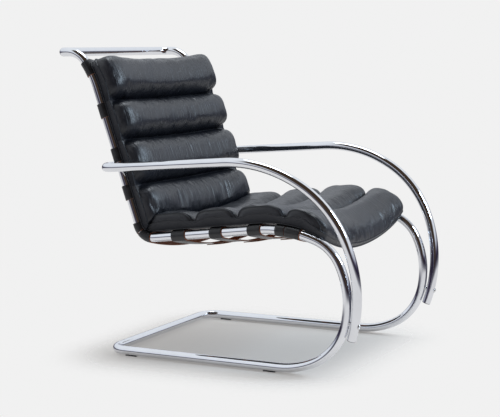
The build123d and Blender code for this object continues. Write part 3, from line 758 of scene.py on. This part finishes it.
def pad_mesh(pad):
    """The pad's closed leather: a channelled top, a sewn side band and a flatter underside."""
    marks, sides = roll_marks(pad), side_marks()
    spread = {}
    bm = bmesh.new()
    sewn = bm.verts.layers.int.new("sewn")
    reflection_unshaded = bm.verts.layers.float.new("reflection_unshaded")
    bm.loops.layers.uv.new("leather")
    top = pad_sheet(bm, len(marks), len(sides))
    under = pad_sheet(bm, len(marks), len(sides))
    for row, (index, across) in enumerate(marks):
        for column, side in enumerate(sides):
            x = side * pad.half
            station = pad.station(index, across, x)
            top[row][column].co = pad.place(x, station, pad.height(index, across, side))
            under[row][column].co = pad.place(x, station, PAD_BASE)
            spread[top[row][column]] = spread[under[row][column]] = (x, station)
    under_faces = {f for row in under for v in row for f in v.link_faces}
    bmesh.ops.reverse_faces(bm, faces=list(under_faces))
    rims = [e for e in bm.edges if e.is_boundary]
    bmesh.ops.bridge_loops(bm, edges=rims)
    bmesh.ops.recalc_face_normals(bm, faces=bm.faces)
    lay_flat(bm, spread)
    for row, (index, across) in enumerate(marks):
        for column, side in enumerate(sides):
            under[row][column][sewn] = 1
            top[row][column][sewn] = int(abs(across) == 1 or abs(side) >= ARCH_SIDE)
            # painted shade on the undersides of the back's rolls, stored for the leather's reflection
            top[row][column][reflection_unshaded] = pad.reflection_unshaded(across)
    return bm


def lay_flat(bm, spread):
    """A UV map in metres over the leather: across the chair, and along the rail."""
    layer = bm.loops.layers.uv["leather"]
    for face in bm.faces:
        for corner in face.loops:
            corner[layer].uv = spread[corner.vert]


def puff(obj, cap):
    """Blows the leather out between its seams as cloth, so that it fills and puckers."""
    scene = bpy.context.scene
    sewn = obj.vertex_groups.new(name="sewn")
    held = [i for i, item in enumerate(obj.data.attributes["sewn"].data) if item.value]
    sewn.add(held, 1.0, "REPLACE")
    before = [v.co.copy() for v in obj.data.vertices]
    cloth = obj.modifiers.new("cloth", "CLOTH")
    for key, value in PUFF.items():
        setattr(cloth.settings, key, value)
    cloth.settings.effector_weights.gravity = 0.0
    cloth.collision_settings.use_collision = False
    for step in range(1, PUFF_FRAMES + 1):
        scene.frame_set(step)
    blown = obj.evaluated_get(bpy.context.evaluated_depsgraph_get())
    after = [v.co.copy() for v in blown.to_mesh().vertices]
    blown.to_mesh_clear()
    obj.modifiers.remove(cloth)
    obj.vertex_groups.clear()
    for vert, start, end in zip(obj.data.vertices, before, after):
        step = end - start
        vert.co = start + step * min(1.0, cap / max(step.length, 1e-9))
    scene.frame_set(1)


def pad_piece(pad, materials):
    """One pad in the place of its cover and filling."""
    cover, filling = pad.name + "_cover", pad.name + "_filling"
    obj = make_piece(pad_mesh(pad), pad.name, materials, [cover, filling])
    puff(obj, sizes().swell_cap)
    finer = obj.modifiers.new("soft", "SUBSURF")
    finer.levels = finer.render_levels = 1


def edge_route(pad, height_at):
    """Points round a pad's edge: out along one side, across its far end and back."""
    marks, sides = roll_marks(pad), side_marks()
    last_index, last_across = marks[-1]

    def spot(index, across, side):
        x = side * pad.half
        return pad.place(x, pad.station(index, across, x), height_at(across, side))

    out = [spot(index, across, 1.0) for index, across in marks]
    back = [spot(index, across, -1.0) for index, across in reversed(marks)]
    return out + [spot(last_index, last_across, side) for side in reversed(sides[1:-1])] + back


def arch_route(pad, way):
    """Points over the ends of a pad's rolls on one side; way is -1 or 1."""
    side = way * ARCH_SIDE
    x = side * pad.half
    return [pad.place(x, pad.station(index, across, x), pad.height(index, across, side))
            for index, across in roll_marks(pad)]


def cord_piece(name, route, material):
    """A thin sewn cord along a route, closed over at both ends."""
    bm = bmesh.new()
    bmesh.ops.create_circle(bm, cap_ends=False, segments=CORD_SIDES, radius=sizes().cord / 2)
    verts, edges = list(bm.verts), list(bm.edges)
    shape = [v.co.copy() for v in verts]

    def lay(ring, step):
        ahead = route[min(step + 1, len(route) - 1)] - route[max(step - 1, 0)]
        turned = ahead.to_track_quat("Z", "X").to_matrix()
        for vert, spot in zip(ring, shape):
            vert.co = route[step] + turned @ spot

    lay(verts, 0)
    first = list(edges)
    for step in range(1, len(route)):
        fresh, edges = extend(bm, edges)
        lay(fresh, step)
    for rim in (first, edges):
        bmesh.ops.edgeloop_fill(bm, edges=rim)
    bmesh.ops.recalc_face_normals(bm, faces=bm.faces)
    make_piece(bm, name, [material])


# ---- stage --------------------------------------------------------------------------------------
CAMERA_AT = (-3.0892, -1.6832, 0.8083)
CAMERA_YAW, CAMERA_PITCH, CAMERA_ROLL = 28.595, 6.866, -1.146      # degrees; pitch is downwards
CAMERA_LENS = 91.46
# name, place, aim, size, power and colour; both are a little cool
LAMPS = (("key", (0.3, 0.1, 3.0), (0.0, 0.0, 0.3), (1.3, 1.3), 26.0, (0.88, 0.94, 1.0)),
         ("window", (0.35, -2.6, 1.9), (0.0, 0.1, 0.5), (0.6, 1.1), 46.0, (0.66, 0.83, 1.0)))
FLOOR_R = 1.4


def camera():
    """The photograph's viewing angle."""
    yaw, pitch, roll = (radians(a) for a in (CAMERA_YAW, CAMERA_PITCH, CAMERA_ROLL))
    ahead = Vector((cos(pitch) * cos(yaw), cos(pitch) * sin(yaw), -sin(pitch)))
    level = Vector((sin(yaw), -cos(yaw), 0.0))
    above = level.cross(ahead)
    right = level * cos(roll) + above * sin(roll)
    up = above * cos(roll) - level * sin(roll)
    data = bpy.data.cameras.new("camera")
    data.lens, data.sensor_width = CAMERA_LENS, 36.0
    data.clip_end = 60.0
    obj = bpy.data.objects.new("camera", data)
    obj.matrix_world = Matrix.Translation(CAMERA_AT) @ Matrix((right, up, -ahead)).transposed().to_4x4()
    bpy.context.scene.collection.objects.link(obj)
    bpy.context.scene.camera = obj


def lamp(name, place, aim, size, power, colour):
    """A rectangular lamp turned towards its aim."""
    data = bpy.data.lights.new(name, "AREA")
    data.shape = "RECTANGLE"
    data.size, data.size_y = size
    data.energy, data.color = power, colour
    obj = bpy.data.objects.new(name, data)
    ahead = (Vector(aim) - Vector(place)).normalized()
    obj.matrix_world = Matrix.Translation(place) @ ahead.to_track_quat("-Z", "Y").to_matrix().to_4x4()
    bpy.context.scene.collection.objects.link(obj)


FLOOR_CLEAR = (0.20, 0.20, 0.0)               # the floor is fully there this far out across and along
FLOOR_FADE = 0.33                             # and is gone this much further out
FLOOR_WEIGHT = 0.84                           # share of the floor over the background where it is full
FLOOR_TONE = (0.795, 0.750, 0.700, 1.0)       # warm enough to look grey under the cool lamps


def floor_finish():
    """Pale floor that takes the chair's shadow and fades into the background round its base."""
    made, net, shader, place = new_material("pale_floor")
    shader["Base Color"].default_value = FLOOR_TONE
    shader["Roughness"].default_value = 0.9
    shader["Specular IOR Level"].default_value = 0.0
    beyond = net.add("ShaderNodeVectorMath", {0: place["Object"]}, operation="ABSOLUTE").outputs["Vector"]
    for operation, reach in (("SUBTRACT", FLOOR_CLEAR), ("MAXIMUM", (0.0, 0.0, 0.0))):
        beyond = net.add("ShaderNodeVectorMath", {0: beyond, 1: reach},
                         operation=operation).outputs["Vector"]
    away = net.add("ShaderNodeVectorMath", {0: beyond}, operation="LENGTH").outputs["Value"]
    fade = net.add("ShaderNodeMapRange", {"Value": away, "From Min": 0.0, "From Max": FLOOR_FADE,
                                          "To Min": FLOOR_WEIGHT, "To Max": 0.0},
                   interpolation_type="SMOOTHERSTEP")
    net.feed(shader["Alpha"], fade.outputs["Result"])
    return made


def floor():
    """A round floor under the chair, which isn't a part of it."""
    bm = bmesh.new()
    bmesh.ops.create_circle(bm, cap_ends=True, segments=96, radius=FLOOR_R)
    mesh = bpy.data.meshes.new("floor")
    bm.to_mesh(mesh)
    bm.free()
    obj = bpy.data.objects.new("floor", mesh)
    bpy.context.scene.collection.objects.link(obj)
    give(obj, [floor_finish()])


# tone of the studio by height, from straight down (0) through level (0.5) to straight up (1)
STUDIO_TONES = ((0.0, (0.82, 0.82, 0.82)), (0.40, (0.78, 0.78, 0.79)), (0.435, (0.22, 0.22, 0.25)),
                (0.475, (0.035, 0.030, 0.05)), (0.50, (0.025, 0.02, 0.04)), (0.53, (0.09, 0.08, 0.13)),
                (0.56, (0.44, 0.46, 0.53)), (0.62, (0.80, 0.84, 0.90)), (1.0, (0.92, 0.96, 1.0)))
# the studio is dark up on the sitter's right, where bright tubes turn towards the front
DARK_WAY = (-0.635, -0.350, 0.690)
DARK_EDGE = (0.63, 0.75)                      # cosine of the angle where it starts and where it is full
DARK_REAR = (0.34, 0.46)                      # and it fades towards the back
DARK_TONE = (0.050, 0.034, 0.024, 1.0)


def world():
    """A pale studio all round, darker near the horizon, as bright tubes show it."""
    made = bpy.data.worlds.new("studio")
    made.use_nodes = True
    made.node_tree.nodes.clear()
    net = Net(made.node_tree)
    ground = rgba(colours().ground)
    way = net.add("ShaderNodeTexCoord").outputs["Generated"]
    parts = net.add("ShaderNodeSeparateXYZ", {0: way}).outputs
    ramp = net.add("ShaderNodeValToRGB", {"Fac": net.remap(parts["Z"], -1.0, 1.0)})
    ends = list(ramp.color_ramp.elements)
    for element, (spot, tone) in zip(ends, (STUDIO_TONES[0], STUDIO_TONES[-1])):
        element.position, element.color = spot, rgba(tone)
    for spot, tone in STUDIO_TONES[1:-1]:
        ramp.color_ramp.elements.new(spot).color = rgba(tone)
    ray = net.add("ShaderNodeLightPath").outputs
    near = net.add("ShaderNodeVectorMath", {0: way, 1: DARK_WAY}, operation="DOT_PRODUCT")
    inside = net.remap(near.outputs["Value"], *DARK_EDGE)
    forward = net.remap(parts["Y"], *DARK_REAR, 1.0, 0.0)
    room = net.mix(net.math("MULTIPLY", inside, forward), ramp.outputs["Color"], DARK_TONE)
    studio = net.add("ShaderNodeBackground", {"Color": room, "Strength": 1.0})
    plain = net.add("ShaderNodeBackground", {"Color": ground, "Strength": 1.0})
    mixed = net.add("ShaderNodeMixShader", {0: ray["Is Camera Ray"], 1: studio.outputs[0],
                                            2: plain.outputs[0]})
    net.add("ShaderNodeOutputWorld", {"Surface": mixed.outputs[0]})
    bpy.context.scene.world = made


# ---- operators ----------------------------------------------------------------------------------
class CHAIR_OT_stage(bpy.types.Operator):
    """Camera, lamps, floor and studio"""
    bl_idname = "chair.stage"
    bl_label = "Stage"

    def execute(self, context):
        context.scene.view_settings.view_transform = "Standard"
        camera()
        world()
        floor()
        for row in LAMPS:
            lamp(*row)
        return {"FINISHED"}


class CHAIR_OT_frame(bpy.types.Operator):
    """Finishes of the tubes, fixings, plugs and glides"""
    bl_idname = "chair.frame"
    bl_label = "Frame finishes"

    def execute(self, context):
        chrome, steel, plastic = chrome_finish(), steel_finish(), plastic_finish()
        finishes = {"chrome_tube": chrome, "inner_steel": steel, "polished_steel": steel,
                    "black_plastic": plastic}
        for part in frame["record"]["subparts"]:
            if part["material_slot"] in finishes:
                dress(part["node"], finishes[part["material_slot"]])
        return {"FINISHED"}


class CHAIR_OT_straps(bpy.types.Operator):
    """Leather straps round the rails"""
    bl_idname = "chair.straps"
    bl_label = "Straps"

    def execute(self, context):
        finishes = strap_finishes()
        runs = strap_runs()
        for number, (name, start, width, dips) in enumerate(runs):
            strap_piece(name, start, width, dips, finishes, number)
        for side, numbers in (("seat", SEAT_TONGUES), ("back", BACK_TONGUES)):
            names = ["%s_strap_%d" % (side, number) for number in numbers]
            buckled = [run[1:] for run in runs if run[0] in names]
            tongue_piece(side + "_strap_tongues", buckled, finishes)
        return {"FINISHED"}


class CHAIR_OT_pads(bpy.types.Operator):
    """Channelled seat and back pads"""
    bl_idname = "chair.pads"
    bl_label = "Pads"

    def execute(self, context):
        s = sizes()
        leather, edging = [pad_finish()], cord_finish()
        pads = (Pad("seat_pad", SEAT, SEAT_SEAMS, half=s.seat_half_width, top=s.seat_roll_top,
                    scallop=s.seat_scallop, swell=s.front_swell, fill=0.0, rise=0.0,
                    end_square=SEAT_END_SQUARE, edge_square=SEAT_EDGE_SQUARE),
                Pad("back_pad", BACK, BACK_SEAMS, half=s.back_half_width, top=s.back_roll_top,
                    scallop=s.back_scallop, swell=0.0, fill=s.back_fill, rise=s.seam_rise,
                    end_square=BACK_END_SQUARE, edge_square=BACK_EDGE_SQUARE))
        for way, side in ((-1, "right"), (1, "left")):
            cord_piece("seat_pad_arch_cord_" + side, arch_route(pads[0], way), edging)
        for pad in pads:
            pad_piece(pad, leather)
            cord_piece(pad.name + "_upper_cord", edge_route(pad, pad.band_top), edging)
            lower = PAD_BASE + s.cord / 2
            cord_piece(pad.name + "_lower_cord", edge_route(pad, lambda across, side: lower), edging)
        return {"FINISHED"}


OPERATORS = (CHAIR_OT_stage, CHAIR_OT_frame, CHAIR_OT_straps, CHAIR_OT_pads)


class CHAIR_PT_panel(bpy.types.Panel):
    """Lists the chair's pieces and settings"""
    bl_label = "Lounge chair"
    bl_idname = "CHAIR_PT_panel"
    bl_space_type = "VIEW_3D"
    bl_region_type = "UI"
    bl_category = "Chair"

    def draw(self, context):
        for made in OPERATORS:
            self.layout.operator(made.bl_idname)
        for settings in (context.scene.chair_sizes, context.scene.chair_colours):
            for key in settings.bl_rna.properties.keys():
                if key not in ("name", "rna_type"):
                    self.layout.prop(settings, key)


CLASSES = (ChairSizes, ChairColours, *OPERATORS, CHAIR_PT_panel)


def register():
    for made in CLASSES:
        bpy.utils.register_class(made)
    bpy.types.Scene.chair_sizes = bpy.props.PointerProperty(type=ChairSizes)
    bpy.types.Scene.chair_colours = bpy.props.PointerProperty(type=ChairColours)


def unregister():
    del bpy.types.Scene.chair_sizes
    del bpy.types.Scene.chair_colours
    for made in reversed(CLASSES):
        bpy.utils.unregister_class(made)


def main():
    register()
    for made in OPERATORS:
        group_name, action = made.bl_idname.split(".")
        getattr(getattr(bpy.ops, group_name), action)()


if __name__ == "__main__":
    main()
